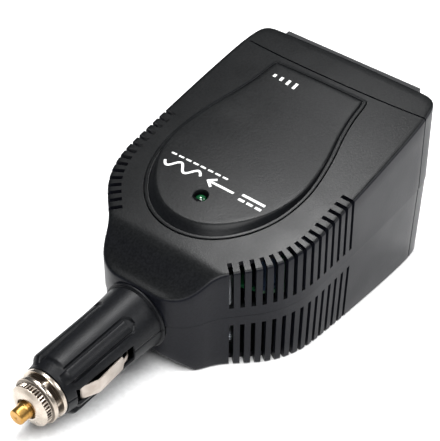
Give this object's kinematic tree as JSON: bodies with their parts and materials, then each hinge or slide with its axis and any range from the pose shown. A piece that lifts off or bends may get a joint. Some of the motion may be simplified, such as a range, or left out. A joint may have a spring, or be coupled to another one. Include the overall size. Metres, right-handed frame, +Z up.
{
  "type": "power inverter",
  "caption": "Wedge-shaped black casing with side vents, a raised label panel and a green lamp on a vehicle power-socket plug; AC outlet and rocker switch at the rear.",
  "frame": {"origin": "centre of the bounding box's base", "axes": "+X along the plug towards its tip, +Y across towards the switch side of the rear face, +Z up"},
  "size_m": [0.1802, 0.0798, 0.0689],
  "materials": {
    "matte_black": "fine textured black moulding",
    "gloss_black": "semi-gloss black moulding",
    "dark_grey": "satin dark moulding",
    "nickel": "nickel plate",
    "brass": "turned brass",
    "green_lens": "clear green lens",
    "board": "solder mask on laminate",
    "copper": "enamelled copper",
    "ferrite": "sintered ferrite",
    "aluminium": "extruded",
    "glass": "clear fuse tube",
    "red_plastic": "moulded red rocker",
    "red_sleeve": "wire sleeve",
    "blue_sleeve": "wire sleeve",
    "brown_sleeve": "wire sleeve",
    "steel": "zinc plated",
    "tape": "winding tape",
    "can": "sleeved can"
  },
  "bodies": {
    "inverter": {"ac_lead_blue": "blue_sleeve", "ac_lead_brown": "brown_sleeve", "bus_capacitor": "can", "buzzer": "gloss_black", "casing_screw_1": "steel", "casing_screw_2": "steel", "casing_screw_3": "steel", "casing_screw_4": "steel", "circuit_board": "board", "contact_earth": "brass", "contact_live": "brass", "contact_neutral": "brass", "control_chip": "gloss_black", "dc_lead_black": "gloss_black", "dc_lead_red": "red_sleeve", "ferrule_ring": "nickel", "fuse_cap_front": "nickel", "fuse_cap_rear": "nickel", "fuse_contact": "brass", "fuse_tube": "glass", "fuse_wire": "copper", "heat_sink_left": "aluminium", "heat_sink_right": "aluminium", "input_capacitor_1": "can", "input_capacitor_2": "can", "label_panel": "matte_black", "led_lens": "green_lens", "led_spacer": "dark_grey", "lower_shell": "matte_black", "mosfet_left_1": "gloss_black", "mosfet_left_2": "gloss_black", "mosfet_right_1": "gloss_black", "mosfet_right_2": "gloss_black", "outlet_block": "dark_grey", "output_choke": "copper", "plug_shell_lower": "gloss_black", "plug_shell_upper": "gloss_black", "rear_cover": "matte_black", "switch_housing": "gloss_black", "tip_spring": "steel", "transformer_core": "ferrite", "upper_shell": "matte_black", "winding_front": "tape", "winding_rear": "tape"},
    "cap_carrier": {"cap_insulator": "dark_grey"},
    "cap_nut": {"screw_cap": "nickel"},
    "tip_pin": {"tip_pin": "brass"},
    "contact_spring_right": {"side_contact_right": "nickel"},
    "contact_spring_left": {"side_contact_left": "nickel"},
    "rocker": {"switch_rocker": "red_plastic"}
  },
  "joints": [
    {"name": "cap_travel", "type": "slide", "parent": "inverter", "child": "cap_carrier", "axis": [1, 0, 0], "range_m": [0, 0.004]},
    {"name": "cap_unscrew", "type": "hinge", "parent": "cap_carrier", "child": "cap_nut", "pos_m": [0.08246, 0, 0.03451], "axis": [1, 0, 0], "range_deg": [0, 1440]},
    {"name": "tip_press", "type": "slide", "parent": "cap_carrier", "child": "tip_pin", "axis": [-1, 0, 0], "range_m": [0, 0.003], "stiffness_N_per_m": 900, "springref_m": -0.002, "deforming": ["tip_spring"]},
    {"name": "side_contact_right_flex", "type": "hinge", "parent": "inverter", "child": "contact_spring_right", "pos_m": [0.04886, 0.0094, 0.03451], "axis": [0, 0, -1], "range_deg": [0, 4.5], "stiffness_Nm_per_rad": 2, "springref_deg": -4.58},
    {"name": "side_contact_left_flex", "type": "hinge", "parent": "inverter", "child": "contact_spring_left", "pos_m": [0.04886, -0.0094, 0.03451], "axis": [0, 0, 1], "range_deg": [0, 4.5], "stiffness_Nm_per_rad": 2, "springref_deg": -4.58},
    {"name": "switch_rock", "type": "hinge", "parent": "inverter", "child": "rocker", "pos_m": [-0.08574, 0.018, 0.03451], "axis": [0, -1, 0], "range_deg": [0, 22]}
  ],
  "couplings": [
    {"joint": "cap_unscrew", "follows": "cap_travel", "rad_per_m": 6283}
  ]
}
